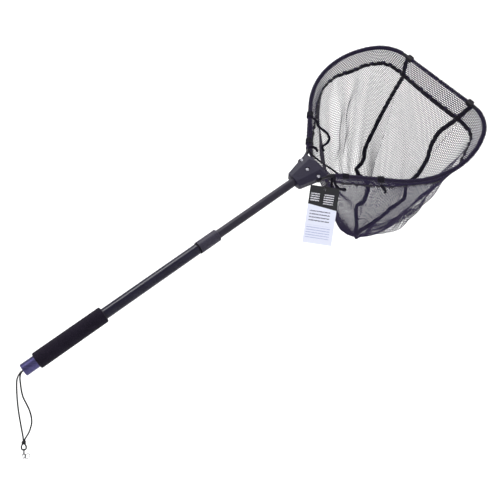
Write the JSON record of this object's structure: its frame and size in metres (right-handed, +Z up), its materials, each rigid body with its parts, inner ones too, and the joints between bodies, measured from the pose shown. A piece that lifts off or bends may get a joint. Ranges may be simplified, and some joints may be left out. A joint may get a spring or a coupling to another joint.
{
  "type": "landing net",
  "caption": "Folding landing net: telescopic handle with foam grip, triangular hoop on a riveted yoke, deep hexagonal-mesh bag, hang tag and wrist lanyard.",
  "frame": {"origin": "centre of the foam grip, on the handle's axis", "axes": "+Z up as the net is held; the handle rises 34 degrees from +X towards +Z, and the hoop's normal leans to -Y, with the bag hanging along -Z"},
  "size_m": [0.9508, 0.4117, 0.8443],
  "materials": {
    "foam": "matte closed-cell foam",
    "cap_metal": "blue-violet anodised",
    "lower_tube": "gloss black",
    "upper_tube": "satin dark grey",
    "collar_plastic": "satin",
    "seal_rubber": "matte",
    "nylon": "satin",
    "yoke_plastic": "satin",
    "rivet_steel": "bright",
    "spring_steel": "bright",
    "arm_paint": "satin black",
    "tip_plastic": "satin",
    "binding": "woven",
    "black_cord": "braided",
    "mesh_thread": "knitted",
    "tag_card": "coated card",
    "lanyard_cord": "braided",
    "clasp_metal": "bright"
  },
  "bodies": {
    "handle": {"butt_cap": "cap_metal", "anchor_knot": "lanyard_cord", "foam_grip": "foam", "lower_tube": "lower_tube", "lock_seal": "seal_rubber", "collet": "nylon", "lanyard_cord": "lanyard_cord", "lanyard_knot": "lanyard_cord", "clasp_eye": "clasp_metal", "clasp_hook": "clasp_metal", "split_ring": "clasp_metal"},
    "collar": {"lock_collar": "collar_plastic"},
    "head": {"upper_tube": "upper_tube", "guide_bush": "nylon", "yoke_top": "yoke_plastic", "yoke_bottom": "yoke_plastic", "centre_rivet": "rivet_steel", "pivot_rivets": "rivet_steel", "detent_spring": "spring_steel", "front_cord": "black_cord", "net_skirt": "mesh_thread", "net_bag": "mesh_thread", "ring_tape": "binding", "left_tape": "binding", "right_tape": "binding"},
    "left": {"left_root": "nylon", "left_arm": "arm_paint", "left_tip": "tip_plastic", "left_ties": "binding"},
    "right": {"right_root": "nylon", "right_arm": "arm_paint", "right_tip": "tip_plastic", "right_ties": "binding"},
    "tag": {"tag_string": "black_cord", "hang_tag": "tag_card"},
    "gate": {"clasp_gate": "clasp_metal"}
  },
  "joints": [
    {"name": "telescope", "type": "slide", "parent": "handle", "child": "head", "axis": [0.829, 0, 0.5592], "range_m": [-0.19, 0.03]},
    {"name": "collar_twist", "type": "hinge", "parent": "handle", "child": "collar", "pos_m": [0.24125, 0, 0.16273], "axis": [0.829, 0, 0.5592], "range_deg": [0, 90]},
    {"name": "left_fold", "type": "hinge", "parent": "head", "child": "left", "pos_m": [0.46713, 0.01454, 0.34108], "axis": [-0.3127, -0.829, 0.4636], "range_deg": [-26, 0], "deforming": ["front_cord"]},
    {"name": "right_fold", "type": "hinge", "parent": "head", "child": "right", "pos_m": [0.49124, -0.01454, 0.30534], "axis": [-0.3127, -0.829, 0.4636], "range_deg": [0, 26], "deforming": ["front_cord"]},
    {"name": "tag_swing", "type": "hinge", "parent": "right", "child": "tag", "pos_m": [0.5177, -0.0209, 0.31184], "axis": [-0.342, -0.9397, 0], "range_deg": [-8, 20]},
    {"name": "gate_hinge", "type": "hinge", "parent": "handle", "child": "gate", "pos_m": [-0.0832, 0.00092, -0.20506], "axis": [-0.342, -0.9397, 0], "range_deg": [0, 25], "stiffness_Nm_per_rad": 0.0005, "springref_deg": -17.19}
  ],
  "couplings": [
    {"joint": "right_fold", "follows": "left_fold", "ratio": -1}
  ]
}
